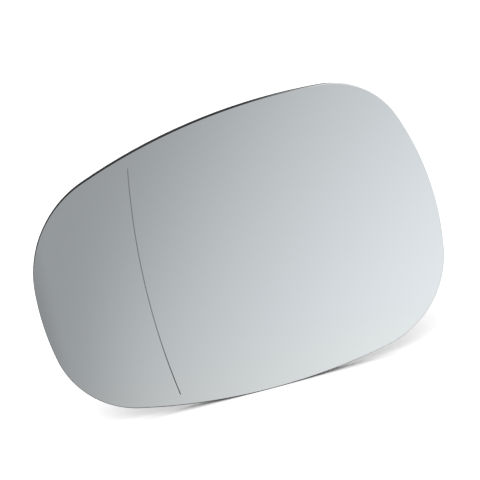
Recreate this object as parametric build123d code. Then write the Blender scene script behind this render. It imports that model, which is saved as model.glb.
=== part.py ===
from build123d import *
import os
from math import asin, atan2, cos, degrees, radians, sin, sqrt

# Pane outline seen from the front: chords between its virtual corners, and the collar axis over the bottom one
BOTTOM_CHORD = 154.5
INNER_HEIGHT = 106.35
OUTER_HEIGHT = 82.35
INNER_LEAN = 9.7
OUTER_LEAN = 2.5
AXIS_HEIGHT = 48.65

# Rise of each bowed side over its straight chord
TOP_RISE = 11.5
INNER_RISE = 13.0
BOTTOM_RISE = 11.6
OUTER_RISE = 7.8

# Rounding of each corner
TOP_OUTER_RADIUS = 45.8
TOP_INNER_RADIUS = 32.8
BOTTOM_INNER_RADIUS = 40.8
BOTTOM_OUTER_RADIUS = 36.4

# Bend of the pane: one long sphere, then three tighter bands outside the dividing line
SPHERE_RADIUS = 1260.0
FIRST_BAND_RADIUS = 900.0
SECOND_BAND_RADIUS = 575.0
THIRD_BAND_RADIUS = 420.0
BAND_WIDTH = 18.0

# Dividing line, engraved in the front
LINE_MARGIN = 36.0
LINE_RADIUS = 305.0
LINE_TURN = -1.84
LINE_ABOVE_CORNER = 10.6
LINE_BELOW_CORNER = 5.45
LINE_WIDTH = 0.4
LINE_DEPTH = 0.15

# Layers behind the front
GLASS_THICKNESS = 2.0
EDGE_ARRIS = 0.25
FILM_THICKNESS = 0.5
FILM_INSET = 4.0
FILM_BANDS = 2
PLATE_THICKNESS = 1.8
PLATE_INSET = 0.2

# Stiffening on the carrier's back, level behind and ended just in front of the collar's groove
RIB_CLEARANCE = 0.2
RIB_THICKNESS = 1.4
RIB_COUNT = 8
RIM_WIDTH = 2.6
CROSS_RIB_DISTANCE = 41.0

# Snap collar for the adjusting motor
COLLAR_DEPTH = 10.0
COLLAR_BORE_RADIUS = 27.0
COLLAR_WALL = 2.6
COLLAR_LEAD_IN = 0.8
COLLAR_LAND = 2.8
COLLAR_RELIEF = 0.3
KEY_COUNT = 3
KEY_WIDTH = 5.0
KEY_DEPTH = 3.0

# Spring of square wire held in the collar's groove
WIRE_SIZE = 1.4
WIRE_PLAY = 0.1
GROOVE_START = 3.8
GROOVE_PLAY = 0.2
SPRING_FLATS = 3
SPRING_BITE = 0.7
SPRING_BEND = 4.0
SPRING_GAP = 6.0
SPRING_EAR = 5.0
SPRING_EAR_BEND = 1.6
SLOT_MARGIN = 1.2

# Window and blade terminals of the heating film
WINDOW_SETBACK = 15.25
WINDOW_WIDTH = 16.0
WINDOW_HEIGHT = 26.0
TERMINAL_SPACING = 13.0
BLADE_WIDTH = 6.3
BLADE_THICKNESS = 0.8
BLADE_HEIGHT = 10.0
BLADE_TIP = 1.2
BLADE_HOLE = 1.6
FOOT_LENGTH = 9.0
FOOT_BEND = 0.6
FOOT_BED = 0.02
RIVET_SHANK = 2.0
RIVET_HEAD = 3.4
RIVET_HEAD_HEIGHT = 0.5
RIVET_PLAY = 0.05

# Places along the pane that follow its corners
TOP_INNER = Vector(BOTTOM_CHORD / 2 - INNER_LEAN, INNER_HEIGHT - AXIS_HEIGHT)
TOP_OUTER = Vector(-BOTTOM_CHORD / 2 - OUTER_LEAN, OUTER_HEIGHT - AXIS_HEIGHT)
BOTTOM_INNER = Vector(BOTTOM_CHORD / 2, -AXIS_HEIGHT)
BOTTOM_OUTER = Vector(-BOTTOM_CHORD / 2, -AXIS_HEIGHT)
LINE_OFFSET = BOTTOM_CHORD / 2 - LINE_MARGIN
LINE_REACH_UP = TOP_OUTER.Y + LINE_ABOVE_CORNER
LINE_REACH_DOWN = AXIS_HEIGHT + LINE_BELOW_CORNER
WINDOW_CENTRE = BOTTOM_CHORD / 2 - WINDOW_SETBACK

# Depths of the layers behind the front, and heights above the collar's mouth
FILM_DEPTH = GLASS_THICKNESS
PLATE_DEPTH = FILM_DEPTH + FILM_THICKNESS
BACK_DEPTH = PLATE_DEPTH + PLATE_THICKNESS
ROOT_DEPTH = PLATE_DEPTH + PLATE_THICKNESS / 2
FRONT_HEIGHT = COLLAR_DEPTH + BACK_DEPTH
BENCH_CLEAR = 2 * FRONT_HEIGHT

# Tighter bands in order, from the dividing line outwards
BAND_RADII = [FIRST_BAND_RADIUS, SECOND_BAND_RADIUS, THIRD_BAND_RADIUS]
ALL_BANDS = len(BAND_RADII)

# Cone angles of the dividing line about the axis that all the bands turn round
LINE_GAP_ANGLE = asin(LINE_OFFSET / SPHERE_RADIUS)
LINE_RATIO = LINE_RADIUS / SPHERE_RADIUS
LINE_ANGLE = degrees(atan2(LINE_RATIO * cos(LINE_GAP_ANGLE), 1 - LINE_RATIO * sin(LINE_GAP_ANGLE)))
AXIS_TILT = LINE_ANGLE - degrees(LINE_GAP_ANGLE)
SHEET_START = AXIS_TILT / 2
SHEET_SWEEP = 60.0

# Frame of that axis: local z along it, local x towards the dividing line
BEND_CENTRE = Vector(0, 0, FRONT_HEIGHT - SPHERE_RADIUS)
AXIS_DIRECTION = Vector(sin(radians(AXIS_TILT)), 0, cos(radians(AXIS_TILT)))
LINE_DIRECTION = Vector(-cos(radians(AXIS_TILT)), 0, sin(radians(AXIS_TILT)))
BEND_FRAME = Plane(
    origin=BEND_CENTRE,
    x_dir=LINE_DIRECTION.rotate(Axis.Z, LINE_TURN),
    z_dir=AXIS_DIRECTION.rotate(Axis.Z, LINE_TURN),
)

# Radii of the collar and its spring
COLLAR_OUTER_RADIUS = COLLAR_BORE_RADIUS + COLLAR_WALL
GROOVE_RADIUS = COLLAR_OUTER_RADIUS - WIRE_SIZE - WIRE_PLAY
GROOVE_END = GROOVE_START + WIRE_SIZE + 2 * GROOVE_PLAY
LAND_END = COLLAR_LEAD_IN + COLLAR_LAND
RELIEF_RADIUS = COLLAR_BORE_RADIUS + COLLAR_RELIEF
RIB_LEVEL = GROOVE_END + RIB_CLEARANCE
SPRING_HEIGHT = (GROOVE_START + GROOVE_END) / 2
SPRING_RADIUS = COLLAR_OUTER_RADIUS - WIRE_SIZE / 2
FLAT_DISTANCE = COLLAR_BORE_RADIUS - SPRING_BITE + WIRE_SIZE / 2
FLAT_HALF = sqrt(SPRING_RADIUS**2 - FLAT_DISTANCE**2)
FLAT_ANGLE = degrees(atan2(FLAT_HALF, FLAT_DISTANCE))


def polar(length: float, angle: float) -> Vector:
    """A point of the bend profile, its angle taken from the axis."""
    return Vector(length * sin(radians(angle)), length * cos(radians(angle)))


def bend_bands() -> list[tuple[float, float]]:
    """Radius and closing angle of each band of the bend, from the inner side outwards."""
    bands = [(SPHERE_RADIUS, LINE_ANGLE)]
    for radius in BAND_RADII:
        bands.append((radius, bands[-1][1] + degrees(BAND_WIDTH / radius)))
    return bands


def bend_arcs(depth: float) -> list[Edge]:
    """Tangent arcs of the bend profile at one depth behind the front."""
    arcs = []
    centre = Vector(0, 0)
    previous = SPHERE_RADIUS
    start = SHEET_START
    for radius, end in bend_bands():
        centre = centre + polar(previous - radius, start)
        arcs.append(CenterArc(centre, radius - depth, 90 - start, start - end))
        previous = radius
        start = end
    return arcs


def bent_sheet(near: float, far: float, bands: int = ALL_BANDS) -> Part:
    """The bent layer that lies between two depths behind the front, over some or all of the bands."""
    front = bend_arcs(near)[: 1 + bands]
    back = bend_arcs(far)[: 1 + bands]
    sides = [Line(front[0] @ 0, back[0] @ 0), Line(front[-1] @ 1, back[-1] @ 1)]
    profile = Plane.XZ * make_face(front + back + sides)
    swept = revolve(profile, Axis.Z, SHEET_SWEEP)
    return BEND_FRAME.location * Rot(0, 0, -SHEET_SWEEP / 2) * swept


def drawn_in(arc: Edge, inset: float) -> Edge:
    """An outline arc moved inwards round its own centre."""
    centre = arc.arc_center
    share = 1 - inset / arc.radius
    start, middle, end = [centre + (arc @ place - centre) * share for place in (0, 0.5, 1)]
    return ThreePointArc(start, middle, end)


def outline(inset: float) -> Sketch:
    """The pane's outline, drawn in by the given distance."""
    sides = [
        SagittaArc(TOP_OUTER, TOP_INNER, TOP_RISE),
        SagittaArc(TOP_INNER, BOTTOM_INNER, INNER_RISE),
        SagittaArc(BOTTOM_INNER, BOTTOM_OUTER, BOTTOM_RISE),
        SagittaArc(BOTTOM_OUTER, TOP_OUTER, OUTER_RISE),
    ]
    face = make_face(sides)
    roundings = [
        (TOP_OUTER, TOP_OUTER_RADIUS),
        (TOP_INNER, TOP_INNER_RADIUS),
        (BOTTOM_INNER, BOTTOM_INNER_RADIUS),
        (BOTTOM_OUTER, BOTTOM_OUTER_RADIUS),
    ]
    for corner, radius in roundings:
        face = fillet(face.vertices().sort_by_distance(corner)[0], radius)
    return make_face([drawn_in(arc, inset) for arc in face.edges()])


def bench_prism(shape: Sketch) -> Part:
    """A flat shape drawn out through every layer."""
    return Pos(0, 0, -BENCH_CLEAR) * extrude(shape, 3 * BENCH_CLEAR)


def dividing_groove() -> Part:
    """The engraved line that parts the sphere from the tighter bands."""
    reach_up = degrees(LINE_REACH_UP / (SPHERE_RADIUS * sin(radians(LINE_ANGLE))))
    reach_down = degrees(LINE_REACH_DOWN / (SPHERE_RADIUS * sin(radians(LINE_ANGLE))))
    spot = polar(SPHERE_RADIUS, LINE_ANGLE)
    section = Pos(spot.X, spot.Y) * Rot(0, 0, -LINE_ANGLE) * Rectangle(LINE_WIDTH, 2 * LINE_DEPTH)
    swept = revolve(Plane.XZ * section, Axis.Z, reach_up + reach_down)
    return BEND_FRAME.location * Rot(0, 0, -reach_up) * swept


def mirror_glass() -> Part:
    """The bent pane with its ground front edge and engraved line."""
    pane = bent_sheet(0, GLASS_THICKNESS) & bench_prism(outline(0))
    front = [face for face in pane.faces() if face.normal_at().Z > 0.5]
    seams = [edge for face in front for edge in face.edges()]
    border = [edge for edge in seams if sum(edge.is_same(other) for other in seams) == 1]
    pane = chamfer(border, EDGE_ARRIS)
    return pane - dividing_groove()


def heater_film() -> Part:
    """The heating film on the pane's back, ended along a band short of the outer edge."""
    return bent_sheet(FILM_DEPTH, PLATE_DEPTH, FILM_BANDS) & bench_prism(outline(FILM_INSET))


def window_shape() -> Sketch:
    """The terminal window in plan."""
    return Pos(WINDOW_CENTRE, 0) * Rectangle(WINDOW_WIDTH, WINDOW_HEIGHT)


def rib_pattern() -> Sketch:
    """Rim, cross ribs, spokes and window frame of the carrier's back, in plan."""
    plate = outline(PLATE_INSET)
    inside = outline(PLATE_INSET + RIM_WIDTH)
    spoke_middle = COLLAR_BORE_RADIUS + COLLAR_WALL / 2 + BOTTOM_CHORD / 2
    spoke = Pos(spoke_middle, 0) * Rectangle(BOTTOM_CHORD, RIB_THICKNESS)
    outer_ring = RegularPolygon(CROSS_RIB_DISTANCE + RIB_THICKNESS / 2, RIB_COUNT, major_radius=False)
    inner_ring = RegularPolygon(CROSS_RIB_DISTANCE - RIB_THICKNESS / 2, RIB_COUNT, major_radius=False)
    half_step = 180 / RIB_COUNT
    pattern = plate - inside + Rot(0, 0, half_step) * (outer_ring - inner_ring)
    for turn in range(RIB_COUNT):
        pattern += Rot(0, 0, half_step * (2 * turn + 1)) * spoke & plate
    frame = Pos(WINDOW_CENTRE, 0) * Rectangle(WINDOW_WIDTH + 2 * RIB_THICKNESS, WINDOW_HEIGHT + 2 * RIB_THICKNESS)
    return pattern + frame - window_shape()


def collar() -> Part:
    """The snap collar, with its lead-in, guiding land, spring groove, slots and keyways."""
    profile = Polyline(
        (COLLAR_BORE_RADIUS + COLLAR_LEAD_IN, 0),
        (COLLAR_OUTER_RADIUS, 0),
        (COLLAR_OUTER_RADIUS, GROOVE_START),
        (GROOVE_RADIUS, GROOVE_START),
        (GROOVE_RADIUS, GROOVE_END),
        (COLLAR_OUTER_RADIUS, GROOVE_END),
        (COLLAR_OUTER_RADIUS, FRONT_HEIGHT),
        (RELIEF_RADIUS, FRONT_HEIGHT),
        (RELIEF_RADIUS, LAND_END),
        (COLLAR_BORE_RADIUS, LAND_END),
        (COLLAR_BORE_RADIUS, COLLAR_LEAD_IN),
        close=True,
    )
    ring = revolve(Plane.XZ * make_face(profile), Axis.Z)
    slot_width = 2 * (FLAT_HALF + SLOT_MARGIN)
    slot = Pos(COLLAR_OUTER_RADIUS, 0, SPRING_HEIGHT) * Box(3 * COLLAR_WALL, slot_width, GROOVE_END - GROOVE_START)
    key = Pos(COLLAR_OUTER_RADIUS, 0, 0) * Box(3 * COLLAR_WALL, KEY_WIDTH, 2 * KEY_DEPTH)
    for turn in range(SPRING_FLATS):
        ring -= Rot(0, 0, 90 + 360 / SPRING_FLATS * turn) * slot
    for turn in range(KEY_COUNT):
        ring -= Rot(0, 0, 270 + 360 / KEY_COUNT * turn) * key
    return ring


def carrier_plate() -> Part:
    """The moulded carrier with its stiffening, snap collar and terminal window."""
    plate = bent_sheet(PLATE_DEPTH, BACK_DEPTH) & bench_prism(outline(PLATE_INSET))
    ribs = Pos(0, 0, RIB_LEVEL) * extrude(rib_pattern(), BENCH_CLEAR)
    behind = bent_sheet(ROOT_DEPTH, ROOT_DEPTH + BENCH_CLEAR)
    stiffening = ribs & behind
    mount = collar() & behind
    openings = window_shape() + Circle(RELIEF_RADIUS)
    return plate - bench_prism(openings) + stiffening + mount


def spring_path() -> Wire:
    """The wire's centre line: arcs in the groove, a flat across each slot and two bent ears."""
    step = 360 / SPRING_FLATS
    ear_angle = degrees(asin(SPRING_GAP / 2 / SPRING_RADIUS))
    ear_foot = SPRING_RADIUS * cos(radians(ear_angle))
    first = 90 - step * (SPRING_FLATS // 2)
    edges = [Line((SPRING_GAP / 2, -ear_foot - SPRING_EAR), (SPRING_GAP / 2, -ear_foot))]
    start = -90 + ear_angle
    for turn in range(SPRING_FLATS):
        middle = first + step * turn
        edges.append(CenterArc((0, 0), SPRING_RADIUS, start, middle - FLAT_ANGLE - start))
        start = middle + FLAT_ANGLE
        edges.append(Line(edges[-1] @ 1, SPRING_RADIUS * Vector(1, 0).rotate(Axis.Z, start)))
    edges.append(CenterArc((0, 0), SPRING_RADIUS, start, 270 - ear_angle - start))
    edges.append(Line(edges[-1] @ 1, (-SPRING_GAP / 2, -ear_foot - SPRING_EAR)))
    path = Wire(edges)
    corners = [edge @ 1 for edge in edges[:-1]]
    for spot in (corners[0], corners[-1]):
        path = path.fillet_2d(SPRING_EAR_BEND, [path.vertices().sort_by_distance(spot)[0]])
    for spot in corners[1:-1]:
        path = path.fillet_2d(SPRING_BEND, [path.vertices().sort_by_distance(spot)[0]])
    return Pos(0, 0, SPRING_HEIGHT) * path


def retaining_spring() -> Part:
    """The wire spring that grips the motor's head through the collar's slots."""
    path = spring_path()
    section = Plane(origin=path @ 0, x_dir=(0, 0, 1), z_dir=path % 0) * Rectangle(WIRE_SIZE, WIRE_SIZE)
    return sweep(section, path=path)


def terminal_frame(side: int) -> Plane:
    """A frame on the film's back inside the window, local z pointing away from the film."""
    radius = SPHERE_RADIUS - PLATE_DEPTH
    x = WINDOW_CENTRE
    y = side * TERMINAL_SPACING / 2
    out = Vector(x, y, sqrt(radius**2 - x**2 - y**2))
    return Plane(origin=BEND_CENTRE + out, x_dir=(1, 0, 0), z_dir=-out)


def blade_terminal(side: int) -> Part:
    """One bent blade: a riveted foot and a standing tab with a notched tip and a lock hole."""
    left = -FOOT_LENGTH / 2
    inner = left + BLADE_THICKNESS
    top = FOOT_BED + BLADE_THICKNESS
    tip = FOOT_BED + BLADE_HEIGHT
    section = make_face(
        Polyline((left, FOOT_BED), (-left, FOOT_BED), (-left, top), (inner, top), (inner, tip), (left, tip), close=True)
    )
    section = fillet(section.vertices().sort_by_distance(Vector(inner, top))[0], FOOT_BEND)
    section = fillet(section.vertices().sort_by_distance(Vector(left, FOOT_BED))[0], FOOT_BEND + BLADE_THICKNESS)
    blade = extrude(Plane.XZ * section, BLADE_WIDTH / 2, both=True)
    tip_edges = blade.edges().filter_by(Axis.X).group_by(Axis.Z)[-1]
    blade = chamfer(tip_edges, BLADE_TIP)
    lock = Pos(left, 0, tip - BLADE_HEIGHT / 3) * Rot(0, 90, 0) * Cylinder(BLADE_HOLE / 2, 4 * BLADE_THICKNESS)
    seat = Cylinder(RIVET_SHANK / 2 + RIVET_PLAY, 4 * BLADE_THICKNESS)
    return terminal_frame(side).location * (blade - lock - seat)


def terminal_rivet(side: int) -> Part:
    """One flat rivet that holds a terminal's foot."""
    foot = FOOT_BED / 2
    top = FOOT_BED + BLADE_THICKNESS
    shank = Pos(0, 0, foot) * extrude(Circle(RIVET_SHANK / 2), top - foot)
    head = Pos(0, 0, top) * extrude(Circle(RIVET_HEAD / 2), RIVET_HEAD_HEIGHT)
    return terminal_frame(side).location * (shank + head)


# Drawn face up above the collar's mouth, then stood up about the middle of the guiding land, face towards -Y
STAND_UP = Rot(90, 0, 0) * Pos(0, 0, -COLLAR_LEAD_IN - COLLAR_LAND / 2)

os.makedirs("parts", exist_ok=True)
export_step(STAND_UP * mirror_glass(), "parts/mirror_glass.step")
export_step(STAND_UP * heater_film(), "parts/heater_film.step")
export_step(STAND_UP * carrier_plate(), "parts/carrier_plate.step")
export_step(STAND_UP * retaining_spring(), "parts/retaining_spring.step")
export_step(STAND_UP * blade_terminal(1), "parts/terminal_upper.step")
export_step(STAND_UP * blade_terminal(-1), "parts/terminal_lower.step")
rivets = Compound([STAND_UP * terminal_rivet(1), STAND_UP * terminal_rivet(-1)])
export_step(rivets, "parts/terminal_rivets.step")
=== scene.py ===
"""Car door mirror glass: the dressed part on a white floor, seen from the front and a little above."""

import logging
from dataclasses import dataclass, field
from enum import Enum, IntEnum
from math import atan2, ceil, pi, radians, sqrt, tan
from typing import Protocol

import bmesh
import bpy
from bmesh.types import BMEdge, BMesh, BMFace, BMVert
from mathutils import Matrix, Vector


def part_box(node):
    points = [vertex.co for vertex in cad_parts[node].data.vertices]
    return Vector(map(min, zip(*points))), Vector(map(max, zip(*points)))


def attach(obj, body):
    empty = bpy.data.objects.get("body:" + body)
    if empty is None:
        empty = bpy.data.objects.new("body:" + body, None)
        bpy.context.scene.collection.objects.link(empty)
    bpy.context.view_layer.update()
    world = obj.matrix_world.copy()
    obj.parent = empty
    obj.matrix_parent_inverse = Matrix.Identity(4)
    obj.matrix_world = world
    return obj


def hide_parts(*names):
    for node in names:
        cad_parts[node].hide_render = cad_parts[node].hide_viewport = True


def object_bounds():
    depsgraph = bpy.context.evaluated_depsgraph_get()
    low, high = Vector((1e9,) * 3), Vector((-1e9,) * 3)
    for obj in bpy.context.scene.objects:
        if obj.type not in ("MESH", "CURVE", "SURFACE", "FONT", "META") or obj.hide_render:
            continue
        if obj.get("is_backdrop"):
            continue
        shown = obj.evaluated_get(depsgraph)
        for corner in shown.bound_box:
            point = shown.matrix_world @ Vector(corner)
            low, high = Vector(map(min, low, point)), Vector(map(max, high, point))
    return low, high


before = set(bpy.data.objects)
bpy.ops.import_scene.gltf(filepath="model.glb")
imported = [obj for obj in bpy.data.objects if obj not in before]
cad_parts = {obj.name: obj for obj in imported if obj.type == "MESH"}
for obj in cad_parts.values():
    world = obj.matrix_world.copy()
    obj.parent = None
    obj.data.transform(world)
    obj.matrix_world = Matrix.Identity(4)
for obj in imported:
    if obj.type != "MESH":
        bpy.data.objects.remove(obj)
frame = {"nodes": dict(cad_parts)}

LOG = logging.getLogger("mirror_glass_scene")
BODY = "root"
TINY = 1e-6
EDGE_SAMPLES = 6

Triple = tuple[float, float, float]
Span = tuple[float, float]
Colour = Triple
Socket = bpy.types.NodeSocket
Shade = Colour | Socket
Inputs = dict[int | str, object]

RIGHT: Triple = (1.0, 0.0, 0.0)
DEEP: Triple = (0.0, 1.0, 0.0)
UP: Triple = (0.0, 0.0, 1.0)
EVEN: Triple = (1.0, 1.0, 1.0)
WHITE: Colour = (1.0, 1.0, 1.0)


class ColourMix(IntEnum):
    """Sockets of a Mix node that mixes colours, by index, because their names aren't unique."""

    SHARE = 0
    FIRST = 6
    SECOND = 7
    RESULT = 2


class PaneFace(IntEnum):
    """Kinds of face on the pane, in the order of its material slots."""

    FRONT = 0
    ARRIS = 1
    WALL = 2
    BACK = 3


@dataclass(frozen=True)
class Pattern:
    """A cloudy pattern: its features per metre, octaves of finer noise, and how far each axis is squeezed."""

    scale: float
    octaves: float
    squeeze: Triple = EVEN


@dataclass(frozen=True)
class Relief:
    """How a height shows as a bump: its strength from 0 to 1, and the height of a full step in metres."""

    strength: float
    step: float


class Signal:
    """A number that varies over a surface: a node socket with arithmetic."""

    def __init__(self, graph: "ShaderGraph", socket: Socket) -> None:
        """Keep the socket and the graph that its Math nodes go into."""
        self.graph = graph
        self.socket = socket

    def maths(self, operation: str, *values: "Signal | float") -> "Signal":
        """Add a Math node.

        Args:
            operation: Name of the Math node's operation.
            values: Its inputs in order, as signals or numbers.

        Returns:
            The node's result.
        """
        made = self.graph.node("ShaderNodeMath", {"operation": operation}, dict(enumerate(values)))
        return Signal(self.graph, made.outputs[0])

    def __add__(self, other: "Signal | float") -> "Signal":
        """Sum with a signal or number."""
        return self.maths("ADD", self, other)

    def __radd__(self, other: float) -> "Signal":
        """Sum with a number on the left."""
        return self.maths("ADD", other, self)

    def __sub__(self, other: "Signal | float") -> "Signal":
        """Difference from a signal or number."""
        return self.maths("SUBTRACT", self, other)

    def __rsub__(self, other: float) -> "Signal":
        """Difference from a number on the left."""
        return self.maths("SUBTRACT", other, self)

    def __mul__(self, other: "Signal | float") -> "Signal":
        """Product with a signal or number."""
        return self.maths("MULTIPLY", self, other)

    def __rmul__(self, other: float) -> "Signal":
        """Product with a number on the left."""
        return self.maths("MULTIPLY", other, self)

    def centred(self) -> "Signal":
        """Shift a signal between 0 and 1 so that its middle is 0."""
        return self - 0.5

    def within(self, low: float = 0.0, high: float = 1.0) -> "Signal":
        """Hold the signal between two numbers."""
        return self.maths("MINIMUM", self.maths("MAXIMUM", self, low), high)

    def above(self, floor: float, easing: float) -> "Signal":
        """Hold the signal above a floor, which it meets softly over an easing's width."""
        return self.maths("SMOOTH_MAX", self, floor, easing)

    def zigzag(self, height: float) -> "Signal":
        """Fold the signal up and down between 0 and a height."""
        return self.maths("PINGPONG", self, height)

    def ramp(self, start: float, full: float) -> "Signal":
        """Rise smoothly from 0 at one value to 1 at another.

        Args:
            start: Value at which the ramp leaves 0.
            full: Value at which it reaches 1.

        Returns:
            The eased ramp.
        """
        made = self.graph.node(
            "ShaderNodeMapRange",
            {"interpolation_type": "SMOOTHSTEP"},
            {"Value": self, "From Min": start, "From Max": full},
        )
        return Signal(self.graph, made.outputs["Result"])


class ShaderGraph:
    """A node tree that is being written, with the few helpers that the finishes share."""

    def __init__(self, tree: bpy.types.NodeTree) -> None:
        """Start from an emptied tree."""
        self.tree = tree
        self.tree.nodes.clear()

    @classmethod
    def of_material(cls, name: str) -> tuple[bpy.types.Material, "ShaderGraph"]:
        """Make a new material.

        Args:
            name: Name of the material.

        Returns:
            The material and its empty graph.
        """
        material = bpy.data.materials.new(name)
        material.use_nodes = True
        return material, cls(material.node_tree)

    def feed(self, socket: Socket, value: object) -> None:
        """Link a signal or socket into an input, or set the input's own value.

        Args:
            socket: The input.
            value: A signal, a socket, or a plain value that is the same all over.
        """
        source = value.socket if isinstance(value, Signal) else value
        if isinstance(source, Socket):
            self.tree.links.new(source, socket)
        else:
            socket.default_value = source

    def node(self, kind: str, settings: dict[str, object], sockets: Inputs) -> bpy.types.Node:
        """Add a node.

        Args:
            kind: Blender's name of the node type.
            settings: Properties of the node, set first.
            sockets: Values, signals or sockets for its inputs, by name or index.

        Returns:
            The new node.
        """
        made = self.tree.nodes.new(kind)
        for name, value in settings.items():
            setattr(made, name, value)
        for key, value in sockets.items():
            self.feed(made.inputs[key], value)
        return made

    def place(self) -> Socket:
        """Object coordinates, in metres in the part's own frame."""
        return self.node("ShaderNodeTexCoord", {}, {}).outputs["Object"]

    def noise(self, pattern: Pattern) -> Signal:
        """Draw a cloudy pattern on the object coordinates.

        Args:
            pattern: Its scale, octaves and squeeze.

        Returns:
            The pattern, between 0 and 1.
        """
        where = self.place()
        if pattern.squeeze != EVEN:
            squeezed = self.node("ShaderNodeMapping", {}, {"Vector": where, "Scale": pattern.squeeze})
            where = squeezed.outputs["Vector"]
        sockets: Inputs = {"Vector": where, "Scale": pattern.scale, "Detail": pattern.octaves}
        return Signal(self, self.node("ShaderNodeTexNoise", {}, sockets).outputs[0])

    def blend(self, share: Signal, low: Shade, high: Shade) -> Socket:
        """Mix two colours.

        Args:
            share: 0 for the first colour, 1 for the second.
            low: First colour, linear, or the socket of one.
            high: Second colour, likewise.

        Returns:
            The mixed colour's socket.
        """
        first, second = ((*shade, 1.0) if isinstance(shade, tuple) else shade for shade in (low, high))
        sockets: Inputs = {ColourMix.SHARE: share, ColourMix.FIRST: first, ColourMix.SECOND: second}
        return self.node("ShaderNodeMix", {"data_type": "RGBA"}, sockets).outputs[ColourMix.RESULT]

    def along(self, vector: Socket, way: Triple | Socket) -> Signal:
        """How far a vector runs along a way, which is fixed or a socket."""
        made = self.node("ShaderNodeVectorMath", {"operation": "DOT_PRODUCT"}, {0: vector, 1: way})
        return Signal(self, made.outputs["Value"])

    def reach(self, way: Triple) -> Signal:
        """How far a spot of the surface lies along a way, in metres in the part's own frame."""
        return self.along(self.place(), way)

    def rounded(self, radius: float) -> Socket:
        """The surface's normal as if its edges had a small radius, in metres."""
        return self.node("ShaderNodeBevel", {"samples": EDGE_SAMPLES}, {"Radius": radius}).outputs["Normal"]

    def facing(self) -> Socket:
        """The surface's own normal."""
        return self.node("ShaderNodeNewGeometry", {}, {}).outputs["Normal"]

    def near_edge(self, rounded: Socket) -> Signal:
        """How far a rounded normal leans away from the flat one: 0 on open faces, more along edges."""
        return 1.0 - self.along(rounded, self.facing())

    def bump(self, height: Signal, relief: Relief, over: Socket | None = None) -> Socket:
        """Turn a height into a normal.

        Args:
            height: Height from 0 to 1.
            relief: How strongly it shows.
            over: Normal that the bump starts from, or the surface's own when left out.

        Returns:
            The normal's socket.
        """
        sockets: Inputs = {"Height": height, "Strength": relief.strength, "Distance": relief.step}
        if over:
            sockets["Normal"] = over
        return self.node("ShaderNodeBump", {}, sockets).outputs["Normal"]

    def surface(self, sockets: Inputs) -> None:
        """Close a material's graph with one surface shader that takes these sockets."""
        shader = self.node("ShaderNodeBsdfPrincipled", {}, sockets)
        self.node("ShaderNodeOutputMaterial", {}, {"Surface": shader.outputs["BSDF"]})


class Finish(Protocol):
    """Anything that can make its own material."""

    def material(self) -> bpy.types.Material:
        """Make the material."""


@dataclass(frozen=True)
class SilveredFace:
    """Bright cool silvering with a trace of wiping haze."""

    dull: Colour = (0.872, 0.924, 0.954)
    bright: Colour = (0.888, 0.940, 0.971)
    cloud: Pattern = Pattern(18.0, 3.0)
    wiping: Pattern = Pattern(60.0, 4.0, (1.0, 1.0, 5.0))
    wiped: Span = (0.45, 0.75)
    polish: float = 0.012
    haze: float = 0.020

    def material(self) -> bpy.types.Material:
        """Make the silvering.

        Returns:
            Its material.
        """
        made, graph = ShaderGraph.of_material("silvered_face")
        haze = graph.noise(self.wiping).ramp(*self.wiped) * self.haze
        graph.surface({
            "Base Color": graph.blend(graph.noise(self.cloud), self.dull, self.bright),
            "Metallic": 1.0,
            "Roughness": self.polish + haze,
        })
        return made


@dataclass(frozen=True)
class GroundArris:
    """Frosted narrow bevel with painted light: a painted reflection darkens it to the outer side,
    and it is painted nearly black along its upper outer run, a painted dark reflection,
    and along its bottom run, painted shade.

    The spans are places in metres: to the right, along the upper way, and up.
    """

    dark: Colour = (0.110, 0.115, 0.115)
    light: Colour = (0.40, 0.41, 0.41)
    # Nearly black: the painted dark reflection and painted shade of the two runs.
    painted_dark_edge: Colour = (0.006, 0.006, 0.006)
    grit: Pattern = Pattern(4000.0, 3.0)
    grit_share: float = 0.4
    reflection_sweep: Span = (-0.085, 0.075)
    upper_way: Triple = (-0.35, 0.0, 0.94)
    dark_reflection_run: Span = (0.0355, 0.0520)
    bottom_shade_run: Span = (-0.050, -0.056)
    bottom_shade_share: float = 0.75
    bottom_shade_end: Span = (0.020, 0.045)
    smoothest: float = 0.45
    roughening: float = 0.25
    relief: Relief = Relief(0.3, 0.00004)
    gloss: float = 0.1

    def material(self) -> bpy.types.Material:
        """Make the frosting with its painted reflection and two black runs of painted reflection and shade.

        Returns:
            Its material.
        """
        made, graph = ShaderGraph.of_material("ground_arris")
        grit = graph.noise(self.grit)
        across = graph.reach(RIGHT)
        # Painted reflection: the frosting is painted darker towards the left, outer side, and the grit varies
        # it.
        reflection_and_grit = across.ramp(*self.reflection_sweep) + grit.centred() * self.grit_share
        frost_and_reflection = graph.blend(reflection_and_grit.within(), self.dark, self.light)
        # Painted dark reflection along the upper outer run, and painted shade along the bottom run, fading
        # out to the right.
        upper = graph.reach(self.upper_way).ramp(*self.dark_reflection_run)
        bottom = graph.reach(UP).ramp(*self.bottom_shade_run) * self.bottom_shade_share
        painted_bottom_shade = bottom * (1.0 - across.ramp(*self.bottom_shade_end))
        graph.surface({
            "Base Color": graph.blend((upper + painted_bottom_shade).within(), frost_and_reflection, self.painted_dark_edge),
            "Roughness": self.smoothest + grit * self.roughening,
            "Normal": graph.bump(grit, self.relief),
            "Specular IOR Level": self.gloss,
        })
        return made


@dataclass(frozen=True)
class GlassWall:
    """Dull, nearly black cut edge of the silvered sheet."""

    deep: Colour = (0.006, 0.007, 0.007)
    pale: Colour = (0.016, 0.019, 0.018)
    streaks: Pattern = Pattern(900.0, 3.0, (1.0, 6.0, 1.0))
    smoothest: float = 0.55
    roughening: float = 0.25
    gloss: float = 0.02

    def material(self) -> bpy.types.Material:
        """Make the cut edge.

        Returns:
            Its material.
        """
        made, graph = ShaderGraph.of_material("glass_wall")
        streak = graph.noise(self.streaks)
        graph.surface({
            "Base Color": graph.blend(streak, self.deep, self.pale),
            "Roughness": self.smoothest + streak * self.roughening,
            "Specular IOR Level": self.gloss,
        })
        return made


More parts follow.
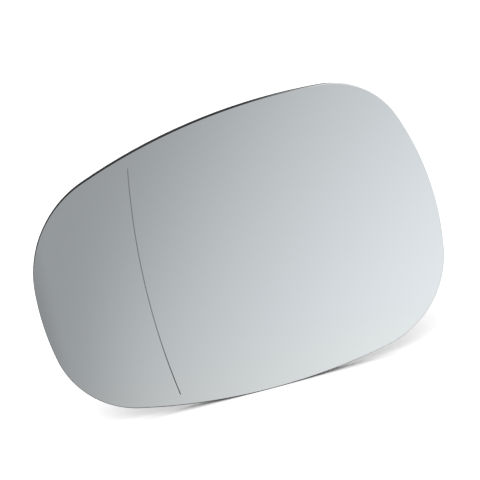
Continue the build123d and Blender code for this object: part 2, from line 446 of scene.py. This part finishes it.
@dataclass(frozen=True)
class BackingPaint:
    """Dark protective paint on the back of the silvering."""

    thin: Colour = (0.055, 0.057, 0.060)
    thick: Colour = (0.030, 0.031, 0.034)
    clouds: Pattern = Pattern(120.0, 4.0)
    smoothest: float = 0.5
    roughening: float = 0.2

    def material(self) -> bpy.types.Material:
        """Make the paint.

        Returns:
            Its material.
        """
        made, graph = ShaderGraph.of_material("backing_paint")
        cloud = graph.noise(self.clouds)
        graph.surface({
            "Base Color": graph.blend(cloud, self.thin, self.thick),
            "Roughness": self.smoothest + cloud * self.roughening,
        })
        return made


@dataclass(frozen=True)
class EngravedLine:
    """Dull grey of the dividing line, darker towards its lower end."""

    upper: Colour = (0.088, 0.091, 0.094)
    lower: Colour = (0.026, 0.027, 0.029)
    lightening: Span = (-0.050, -0.018)
    specks: Pattern = Pattern(2500.0, 2.0)
    speck_share: float = 0.3
    smoothest: float = 0.55
    roughening: float = 0.25
    gloss: float = 0.2

    def material(self) -> bpy.types.Material:
        """Make the engraving.

        Returns:
            Its material.
        """
        made, graph = ShaderGraph.of_material("engraved_line")
        down = 1.0 - graph.reach(UP).ramp(*self.lightening)
        speck = graph.noise(self.specks)
        darkness = (down + speck.centred() * self.speck_share).within()
        graph.surface({
            "Base Color": graph.blend(darkness, self.upper, self.lower),
            "Roughness": self.smoothest + speck * self.roughening,
            "Specular IOR Level": self.gloss,
        })
        return made


@dataclass(frozen=True)
class GrainedPlastic:
    """Black moulding with a fine spark-eroded grain and flow marks.

    Its edges are lighter from abrasion and a painted highlight,
    and its walls are rougher and darkened with painted shade.
    """

    black: Colour = (0.018, 0.018, 0.019)
    cloudy: Colour = (0.046, 0.046, 0.049)
    # Colour of the edges, lighter from abrasion and from a painted highlight.
    rubbed_and_highlit: Colour = (0.060, 0.060, 0.063)
    # Painted shade on the walls.
    shaded: Colour = (0.008, 0.008, 0.009)
    grains: Pattern = Pattern(2600.0, 2.0)
    grain_edge: Span = (0.30, 0.70)
    grain_share: float = 0.3
    grain_roughening: float = 0.10
    flows: Pattern = Pattern(35.0, 3.0, (1.0, 1.0, 2.5))
    flow_share: float = 0.7
    flow_roughening: float = 0.14
    edge_radius: float = 0.00030
    wear_and_highlight_span: Span = (0.01, 0.16)
    least_wear_and_highlight: float = 0.35
    wear_and_highlight_by_flow: float = 0.65
    face_on: Span = (0.1, 0.5)
    wall_shade_share: float = 0.8
    wall_roughening: float = 0.40
    smoothest: float = 0.40
    relief: Relief = Relief(0.35, 0.00008)
    gloss: float = 0.4

    def material(self) -> bpy.types.Material:
        """Make the moulding's surface.

        Returns:
            Its material.
        """
        made, graph = ShaderGraph.of_material("grained_plastic")
        grain = graph.noise(self.grains).ramp(*self.grain_edge)
        flow = graph.noise(self.flows)
        rounded = graph.rounded(self.edge_radius)
        # Edges lighter partly from abrasion and partly from a painted highlight.
        wear_and_highlight = graph.near_edge(rounded).ramp(*self.wear_and_highlight_span) * (self.least_wear_and_highlight + flow * self.wear_and_highlight_by_flow)
        # Walls darkened with painted shade, besides being rougher.
        depthwise = graph.along(graph.facing(), DEEP)
        wall = 1.0 - (depthwise * depthwise).ramp(*self.face_on)
        cloud = flow * self.flow_share + grain * self.grain_share
        faces = graph.blend(wear_and_highlight, graph.blend(cloud, self.black, self.cloudy), self.rubbed_and_highlit)
        marks = flow * self.flow_roughening + grain * self.grain_roughening
        graph.surface({
            "Base Color": graph.blend(wall * self.wall_shade_share, faces, self.shaded),
            "Roughness": self.smoothest + marks + wall * self.wall_roughening,
            "Normal": graph.bump(grain, self.relief, rounded),
            "Specular IOR Level": self.gloss,
        })
        return made


@dataclass(frozen=True)
class HeatingFilm:
    """Satin black film with the narrow printed heating tracks showing through it.

    The tracks' half widths and their wandering are in pitches.
    """

    ground: Colour = (0.020, 0.020, 0.022)
    printed: Colour = (0.120, 0.098, 0.080)
    track_pitch: float = 0.0042
    half_track: Span = (0.126, 0.174)
    half_pitch: float = 0.5
    wandering: Pattern = Pattern(45.0, 2.0)
    wander_share: float = 0.12
    mottles: Pattern = Pattern(400.0, 3.0)
    least_print: float = 0.75
    print_by_mottle: float = 0.25
    smoothest: float = 0.50
    track_smoothing: float = 0.14
    roughening: float = 0.10
    relief: Relief = Relief(0.4, 0.00005)
    gloss: float = 0.4

    def material(self) -> bpy.types.Material:
        """Make the film with its tracks.

        Returns:
            Its material.
        """
        made, graph = ShaderGraph.of_material("heating_film")
        mottle = graph.noise(self.mottles)
        wander = graph.noise(self.wandering).centred() * self.wander_share
        pitches = graph.reach(UP) * (1.0 / self.track_pitch) + wander
        track = 1.0 - pitches.zigzag(self.half_pitch).ramp(*self.half_track)
        print_share = track * (self.least_print + mottle * self.print_by_mottle)
        graph.surface({
            "Base Color": graph.blend(print_share, self.ground, self.printed),
            "Roughness": self.smoothest - track * self.track_smoothing + mottle * self.roughening,
            "Normal": graph.bump(track, self.relief),
            "Specular IOR Level": self.gloss,
        })
        return made


@dataclass(frozen=True)
class BareMetal:
    """Metal of the small fittings, with drawing marks along one axis and a little tarnish."""

    name: str
    clean: Colour
    tarnished: Colour
    smoothest: float
    marks: Pattern
    stains: Pattern = Pattern(260.0, 4.0)
    stained: Span = (0.42, 0.72)
    stain_share: float = 0.7
    mark_share: float = 0.3
    stain_roughening: float = 0.12
    mark_roughening: float = 0.10
    relief: Relief = Relief(0.2, 0.00002)

    def material(self) -> bpy.types.Material:
        """Make the metal.

        Returns:
            Its material.
        """
        made, graph = ShaderGraph.of_material(self.name)
        mark = graph.noise(self.marks)
        stain = graph.noise(self.stains).ramp(*self.stained)
        tarnish = stain * self.stain_share + mark * self.mark_share
        graph.surface({
            "Base Color": graph.blend(tarnish, self.clean, self.tarnished),
            "Metallic": 1.0,
            "Roughness": self.smoothest + stain * self.stain_roughening + mark * self.mark_roughening,
            "Normal": graph.bump(mark, self.relief),
        })
        return made


class Metal(Enum):
    """The metals of the small fittings."""

    SPRING_STEEL = BareMetal(
        "spring_steel", (0.56, 0.56, 0.57), (0.36, 0.35, 0.34), 0.24, Pattern(1500.0, 3.0, (1.0, 9.0, 1.0))
    )
    TINNED_BRASS = BareMetal(
        "tinned_brass", (0.66, 0.65, 0.62), (0.44, 0.42, 0.38), 0.26, Pattern(1500.0, 3.0, (1.0, 8.0, 1.0))
    )
    RIVET_BRASS = BareMetal(
        "rivet_brass", (0.74, 0.58, 0.30), (0.46, 0.33, 0.16), 0.24, Pattern(1500.0, 3.0)
    )


@dataclass(frozen=True)
class FloorPaint:
    """Plain white studio floor with the faintest unevenness."""

    low: Colour = (0.85, 0.85, 0.85)
    high: Colour = (0.87, 0.87, 0.87)
    clouds: Pattern = Pattern(3.0, 2.0)
    roughness: float = 0.9
    gloss: float = 0.0

    def material(self) -> bpy.types.Material:
        """Make the floor's paint.

        Returns:
            Its material.
        """
        made, graph = ShaderGraph.of_material("floor_paint")
        graph.surface({
            "Base Color": graph.blend(graph.noise(self.clouds), self.low, self.high),
            "Roughness": self.roughness,
            "Specular IOR Level": self.gloss,
        })
        return made


def place_object(name: str, data: bpy.types.ID) -> bpy.types.Object:
    """Put new data into the scene.

    Args:
        name: Name of the object.
        data: Its mesh, light or camera.

    Returns:
        The object, at the origin.
    """
    made = bpy.data.objects.new(name, data)
    bpy.context.scene.collection.objects.link(made)
    return made


def place_mesh(name: str, mesh: BMesh, finishes: list[Finish]) -> bpy.types.Object:
    """Put a finished bmesh into the scene.

    Args:
        name: Name of the object and its mesh.
        mesh: The bmesh, which is freed.
        finishes: Its finishes, in the order of its faces' material indices.

    Returns:
        The object, at the origin.
    """
    data = bpy.data.meshes.new(name)
    mesh.to_mesh(data)
    mesh.free()
    for finish in finishes:
        data.materials.append(finish.material())
    return place_object(name, data)


def add_piece(name: str, mesh: BMesh, finishes: list[Finish]) -> bpy.types.Object:
    """Make a piece that rides on the part.

    Args:
        name: Name of the piece.
        mesh: Its bmesh, which is freed.
        finishes: Its finishes, in the order of its faces' material indices.

    Returns:
        The piece.
    """
    piece = place_mesh(name, mesh, finishes)
    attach(piece, BODY)
    LOG.info("%s: %d faces", name, len(piece.data.polygons))
    return piece


def draw_back(mesh: BMesh, depth: float) -> None:
    """Draw a sheet's faces back into a closed body.

    Args:
        mesh: The sheet, which is changed.
        depth: How far the faces are drawn.
    """
    drawn = bmesh.ops.extrude_face_region(mesh, geom=list(mesh.faces), use_keep_orig=True)["geom"]
    verts = [part for part in drawn if isinstance(part, BMVert)]
    bmesh.ops.translate(mesh, vec=(0.0, depth, 0.0), verts=verts)
    bmesh.ops.recalc_face_normals(mesh, faces=mesh.faces)


@dataclass(frozen=True)
class Arc:
    """A piece of the outline, run clockwise as the face is seen."""

    centre: Vector
    start: Vector
    end: Vector

    @property
    def sweep(self) -> float:
        """Angle from start to end about the centre.

        Returns:
            The angle in radians, clockwise.
        """
        first = self.start - self.centre
        last = self.end - self.centre
        return (atan2(last.x, last.z) - atan2(first.x, first.z)) % (2 * pi)

    @property
    def length(self) -> float:
        """Length along the arc."""
        return self.sweep * (self.start - self.centre).length


@dataclass(frozen=True)
class Circle:
    """The full circle that a bowed side is part of."""

    centre: Vector
    radius: float

    def towards(self, spot: Vector) -> Vector:
        """The circle's point in the direction of a spot."""
        return self.centre + (spot - self.centre).normalized() * self.radius


@dataclass
class PaneOutline:
    """Plan of the pane: four bowed sides over straight chords, with tangent arcs at the corners.

    Rises and roundings run clockwise as the face is seen, from the top side and the top outer corner.
    """

    bottom_chord: float = 0.1545
    inner_height: float = 0.10635
    outer_height: float = 0.08235
    inner_lean: float = 0.0097
    outer_lean: float = 0.0025
    axis_height: float = 0.04865
    rises: tuple[float, ...] = (0.0115, 0.0130, 0.0116, 0.0078)
    roundings: tuple[float, ...] = (0.0458, 0.0328, 0.0408, 0.0364)
    step: float = 0.0015

    def corners(self) -> list[Vector]:
        """Find the virtual corners, where the chords meet.

        Returns:
            The corners, clockwise from the top outer one.
        """
        half = self.bottom_chord / 2
        return [
            Vector((-half - self.outer_lean, 0.0, self.outer_height - self.axis_height)),
            Vector((half - self.inner_lean, 0.0, self.inner_height - self.axis_height)),
            Vector((half, 0.0, -self.axis_height)),
            Vector((-half, 0.0, -self.axis_height)),
        ]

    @staticmethod
    def side(start: Vector, end: Vector, rise: float) -> Circle:
        """Find the circle of a side that bows outwards.

        Args:
            start: First end of its chord.
            end: Second end, clockwise.
            rise: Height of the bow over the chord.

        Returns:
            The circle through both ends.
        """
        chord = end - start
        radius = (chord.length_squared / 4 + rise**2) / (2 * rise)
        outward = Vector((-chord.z, 0.0, chord.x)).normalized()
        return Circle((start + end) / 2 - outward * (radius - rise), radius)

    @staticmethod
    def rounding_centre(before: Circle, after: Circle, rounding: float, corner: Vector) -> Vector:
        """Find the centre of a corner arc that touches two sides from within.

        Args:
            before: Circle of the side that ends at the corner.
            after: Circle of the side that starts there.
            rounding: Radius of the corner arc.
            corner: The virtual corner.

        Returns:
            The centre nearest to the corner.
        """
        between = after.centre - before.centre
        reach = before.radius - rounding
        along = (reach**2 - (after.radius - rounding) ** 2 + between.length_squared) / (2 * between.length)
        foot = before.centre + between.normalized() * along
        across = Vector((-between.z, 0.0, between.x)).normalized() * sqrt(reach**2 - along**2)
        return min((foot + across, foot - across), key=lambda spot: (spot - corner).length)

    def arcs(self) -> list[Arc]:
        """Find all the arcs of the outline.

        Returns:
            The arcs, clockwise: the top outer corner, then the side after it, and so on.
        """
        corners = self.corners()
        count = len(corners)
        sides = [self.side(corners[i], corners[(i + 1) % count], self.rises[i]) for i in range(count)]
        centres = [
            self.rounding_centre(sides[i - 1], sides[i], self.roundings[i], corners[i]) for i in range(count)
        ]
        found: list[Arc] = []
        for i in range(count):
            leave = sides[i].towards(centres[i])
            arrive = sides[i].towards(centres[(i + 1) % count])
            found.append(Arc(centres[i], sides[i - 1].towards(centres[i]), leave))
            found.append(Arc(sides[i].centre, leave, arrive))
        return found

    def draw(self, mesh: BMesh) -> None:
        """Draw the closed outline in the plane y = 0, by turning one vertex about each arc's centre.

        Args:
            mesh: The empty bmesh that takes the outline.
        """
        arcs = self.arcs()
        tip = bmesh.ops.create_vert(mesh, co=arcs[0].start)["vert"][0]
        for arc in arcs:
            steps = ceil(arc.length / self.step)
            turned = bmesh.ops.spin(
                mesh, geom=[tip], cent=arc.centre, axis=DEEP, angle=arc.sweep, steps=steps
            )
            tip = turned["geom_last"][0]
        bmesh.ops.remove_doubles(mesh, verts=mesh.verts, dist=TINY)


@dataclass
class PaneBend:
    """Bend of the pane's front: a long sphere that tightens steadily beyond the dividing line."""

    pole: float
    sphere_radius: float = 1.260
    line_radius: float = 0.305
    line_centre: Vector = field(default_factory=lambda: Vector((0.2636, 0.0, -0.00847)))
    tightening: float = 37.0

    def past_line(self, spot: Vector) -> float:
        """Distance of a spot of the plan beyond the dividing line, 0 on the inner side of it."""
        from_centre = Vector((spot.x, 0.0, spot.z)) - self.line_centre
        return max(0.0, from_centre.length - self.line_radius)

    def depth(self, spot: Vector) -> float:
        """The front's y over or under a spot of the plan."""
        sag = self.sphere_radius - sqrt(self.sphere_radius**2 - spot.x**2 - spot.z**2)
        return self.pole + sag + self.tightening * self.past_line(spot) ** 3 / 6

    def lay(self, mesh: BMesh, proud: float = 0.0) -> None:
        """Move a mesh's vertices along y onto the front, or a little proud of it."""
        for vert in mesh.verts:
            vert.co.y = self.depth(vert.co) - proud


@dataclass
class MirrorPane:
    """The bent pane with its ground arris, cut edge and painted back.

    Angles are in radians, and a face is a wall where its normal's y stays under wall_lean.
    """

    outline: PaneOutline
    bend: PaneBend
    thickness: float = 0.002
    arris: float = 0.00040
    rings: int = 44
    border_angle: float = 1.0
    crisp_angle: float = 0.4
    wall_lean: float = 0.5

    def cap(self) -> BMesh:
        """Model the front face from rings drawn in from the outline to the middle.

        Returns:
            The front as an open sheet, laid on the bend.
        """
        mesh = bmesh.new()
        self.outline.draw(mesh)
        rim = list(mesh.edges)
        for left in range(self.rings, 1, -1):
            grown = bmesh.ops.extrude_edge_only(mesh, edges=rim)["geom"]
            rim = [part for part in grown if isinstance(part, BMEdge) and part.is_boundary]
            verts = [part for part in grown if isinstance(part, BMVert)]
            share = (left - 1) / left
            bmesh.ops.scale(mesh, vec=(share, 1.0, share), verts=verts)
        bmesh.ops.contextual_create(mesh, geom=rim)
        self.bend.lay(mesh)
        return mesh

    def grind(self, mesh: BMesh) -> set[BMFace]:
        """Grind the arris where the front meets the wall.

        Args:
            mesh: The closed pane, which is changed.

        Returns:
            The ground faces.
        """
        border = [edge for edge in mesh.edges if self.on_front_border(edge)]
        ground = bmesh.ops.bevel(
            mesh,
            geom=border,
            offset=self.arris,
            offset_type="OFFSET",
            segments=1,
            profile=0.5,
            affect="EDGES",
            material=-1,
        )
        return set(ground["faces"])

    def on_front_border(self, edge: BMEdge) -> bool:
        """Find out whether an edge lies where the front meets the wall.

        Args:
            edge: An edge of the closed pane.

        Returns:
            True on the front's border.
        """
        middle = (edge.verts[0].co + edge.verts[1].co) / 2
        in_front = middle.y < self.bend.depth(middle) + self.thickness / 2
        return in_front and edge.calc_face_angle(0.0) > self.border_angle

    def sort_faces(self, mesh: BMesh, ground: set[BMFace]) -> None:
        """Give each face its kind's material, smooth it, and keep the ground edges crisp.

        Args:
            mesh: The closed pane, which is changed.
            ground: Faces of the arris.
        """
        for face in mesh.faces:
            face.smooth = True
            if face in ground:
                face.material_index = PaneFace.ARRIS
            elif abs(face.normal.y) < self.wall_lean:
                face.material_index = PaneFace.WALL
            else:
                face.material_index = PaneFace.FRONT if face.normal.y < 0 else PaneFace.BACK
        for edge in mesh.edges:
            edge.smooth = edge.calc_face_angle(0.0) < self.crisp_angle

    def build(self) -> bpy.types.Object:
        """Model and dress the pane in place of the plain solid.

        Returns:
            The pane.
        """
        mesh = self.cap()
        draw_back(mesh, self.thickness)
        ground = self.grind(mesh)
        self.sort_faces(mesh, ground)
        finishes = [SilveredFace(), GroundArris(), GlassWall(), BackingPaint()]
        piece = add_piece("silvered_pane", mesh, finishes)
        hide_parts("mirror_glass")
        return piece


@dataclass
class DividingLine:
    """The engraved line, as a slim bar let into the front."""

    bend: PaneBend
    reach_up: float = 0.0443
    reach_down: float = 0.0541
    width: float = 0.00040
    proud: float = 0.00001
    sunk: float = 0.00012
    steps: int = 72

    def build(self) -> bpy.types.Object:
        """Turn a short edge about the line's centre, lay it on the front and thicken it.

        Returns:
            The line.
        """
        mesh = bmesh.new()
        centre = self.bend.line_centre
        radius = self.bend.line_radius
        start = Matrix.Rotation(-self.reach_down / radius, 3, "Y") @ -centre.normalized()
        ends = [
            bmesh.ops.create_vert(mesh, co=centre + start * (radius + offset))["vert"][0]
            for offset in (-self.width / 2, self.width / 2)
        ]
        edge = bmesh.ops.contextual_create(mesh, geom=ends)["edges"]
        sweep = (self.reach_up + self.reach_down) / radius
        bmesh.ops.spin(mesh, geom=ends + edge, cent=centre, axis=DEEP, angle=sweep, steps=self.steps)
        self.bend.lay(mesh, self.proud)
        draw_back(mesh, self.sunk)
        piece = add_piece("dividing_line", mesh, [EngravedLine()])
        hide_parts("mirror_glass")
        return piece


@dataclass
class BackFittings:
    """The solids behind the pane, kept as they are and dressed."""

    nodes: dict[str, bpy.types.Object]

    @staticmethod
    def finishes() -> dict[Finish, tuple[str, ...]]:
        """Choose the finishes.

        Returns:
            Each finish with the names of the solids that take it.
        """
        return {
            GrainedPlastic(): ("carrier_plate",),
            HeatingFilm(): ("heater_film",),
            Metal.SPRING_STEEL.value: ("retaining_spring",),
            Metal.TINNED_BRASS.value: ("terminal_upper", "terminal_lower"),
            Metal.RIVET_BRASS.value: ("terminal_rivets",),
        }

    def dress(self) -> None:
        """Give every kept solid its finish."""
        for finish, names in self.finishes().items():
            material = finish.material()
            for name in names:
                slots = self.nodes[name].data.materials
                slots.clear()
                slots.append(material)
                LOG.info("%s: dressed as %s", name, material.name)


@dataclass
class Studio:
    """White floor and one broad soft light from the front and above."""

    ground: float
    floor_size: float = 40.0
    light_height: float = radians(30.0)
    light_aside: float = radians(-8.0)
    light_spread: float = radians(50.0)
    light_power: float = 2.8

    def build(self) -> None:
        """Set up the floor and the light, with plain tones in the picture."""
        self.lay_floor()
        self.hang_light()
        bpy.context.scene.view_settings.view_transform = "Standard"

    def lay_floor(self) -> None:
        """Lay a wide flat floor under the part's lowest point, which the mirror doesn't show."""
        mesh = bmesh.new()
        bmesh.ops.create_grid(mesh, x_segments=1, y_segments=1, size=self.floor_size / 2)
        bmesh.ops.translate(mesh, vec=(0.0, 0.0, self.ground), verts=mesh.verts)
        floor = place_mesh("floor", mesh, [FloorPaint()])
        floor.visible_glossy = False
        floor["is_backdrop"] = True

    def hang_light(self) -> None:
        """Hang the light far off, out of the mirror's sight."""
        data = bpy.data.lights.new("broad_light", "SUN")
        data.angle = self.light_spread
        data.energy = self.light_power
        light = place_object("broad_light", data)
        level = Vector((tan(self.light_aside), -1.0, 0.0)).normalized()
        source = level + Vector(UP) * tan(self.light_height)
        light.rotation_euler = source.to_track_quat("Z", "Y").to_euler()
        light.visible_glossy = False


@dataclass
class Surroundings:
    """What the mirror shows: white all round, grey beneath, and before it a field brightening to the right.

    Spans and rates are in parts of a direction of length 1.
    """

    sky: float = 1.15
    beneath: Span = (-0.12, 0.02)
    beneath_tone: float = 0.38
    beneath_sides: float = 0.25
    field_centre: Triple = (0.0, -0.98, -0.19)
    field_border: Span = (0.70, 0.87)
    field_tone: float = 0.344
    right_rise: float = 1.048
    right_easing: float = 0.544
    right_by_up: float = 0.151
    up_fall: float = 0.966
    up_steepening: float = 0.433
    darkest: float = 0.340
    dark_easing: float = 0.162
    outer_side: Span = (-0.275, -0.225)
    outer_dip: float = 0.055
    warm: Colour = (1.013, 1.0, 0.978)
    warm_end: Span = (-0.36, -0.29)

    def field_before(self, right: Signal, upward: Signal) -> Signal:
        """Tone the field that lies before the mirror.

        Args:
            right: How far a direction points to the part's right.
            upward: How far it points up.

        Returns:
            The field's brightness.
        """
        rise = right * (self.right_rise - self.right_easing * right + self.right_by_up * upward)
        fall = upward * (self.up_fall + self.up_steepening * upward)
        slope = self.field_tone + rise - fall
        outer = 1.0 - right.ramp(*self.outer_side)
        tone = slope.above(self.darkest, self.dark_easing) - outer * self.outer_dip
        return tone.within(0.0, self.sky)

    def all_round(self, right: Signal, upward: Signal) -> Signal:
        """Tone what lies outside that field.

        Args:
            right: How far a direction points to the part's right.
            upward: How far it points up.

        Returns:
            The brightness there.
        """
        beneath = 1.0 - upward.ramp(*self.beneath)
        tone = self.beneath_tone + self.beneath_sides * right * right
        return self.sky + beneath * (tone - self.sky)

    def build(self) -> None:
        """Make the surroundings the scene's own, with plain white where the camera looks past the floor."""
        world = bpy.data.worlds.new("surroundings")
        world.use_nodes = True
        graph = ShaderGraph(world.node_tree)
        direction = graph.node("ShaderNodeTexCoord", {}, {}).outputs["Generated"]
        right = graph.along(direction, RIGHT)
        upward = graph.along(direction, UP)
        around = self.all_round(right, upward)
        within_field = graph.along(direction, self.field_centre).ramp(*self.field_border)
        shown = around + within_field * (self.field_before(right, upward) - around)
        backdrop = Signal(graph, graph.node("ShaderNodeLightPath", {}, {}).outputs["Is Camera Ray"])
        strength = shown + backdrop * (self.sky - shown)
        hue = graph.blend(1.0 - upward.ramp(*self.warm_end), WHITE, self.warm)
        background = graph.node("ShaderNodeBackground", {}, {"Color": hue, "Strength": strength})
        graph.node("ShaderNodeOutputWorld", {}, {"Surface": background.outputs["Background"]})
        bpy.context.scene.world = world


@dataclass
class PhotoCamera:
    """Camera at the photograph's place, rolled as the photograph is."""

    pole: float
    distance: float = 0.600
    aside: float = radians(-4.4)
    above: float = radians(11.2)
    roll: float = radians(13.5)
    field_width: float = 0.19866
    sensor: float = 36.0
    target_x: float = 0.00041
    target_z: float = 0.00136
    aim_right: float = -0.00021
    aim_up: float = 0.00407

    def build(self) -> None:
        """Place the camera, aim it a little off its target, and make it the scene's own."""
        target = Vector((self.target_x, self.pole, self.target_z))
        back = Vector((tan(self.aside), -1.0, tan(self.above))).normalized()
        place = target + back * self.distance
        level = Vector(UP).cross(back).normalized()
        right = Matrix.Rotation(-self.roll, 3, back) @ level
        up = back.cross(right)
        aim = target + right * self.aim_right + up * self.aim_up
        back = (place - aim).normalized()
        up = (up - back * up.dot(back)).normalized()
        turned = Matrix((up.cross(back), up, back)).transposed()
        data = bpy.data.cameras.new("photo_camera")
        data.sensor_width = self.sensor
        data.lens = self.sensor * self.distance / self.field_width
        camera = place_object("photo_camera", data)
        camera.matrix_world = Matrix.Translation(place) @ turned.to_4x4()
        bpy.context.scene.camera = camera


def main() -> None:
    """Build the dressed part, then its studio, surroundings and camera."""
    logging.basicConfig(level=logging.INFO, format="%(name)s %(message)s")
    solids_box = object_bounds()
    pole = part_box("mirror_glass")[0].y
    bend = PaneBend(pole)
    MirrorPane(PaneOutline(), bend).build()
    DividingLine(bend).build()
    BackFittings(frame["nodes"]).dress()
    Studio(solids_box[0].z).build()
    Surroundings().build()
    PhotoCamera(pole).build()


if __name__ == "__main__":
    main()
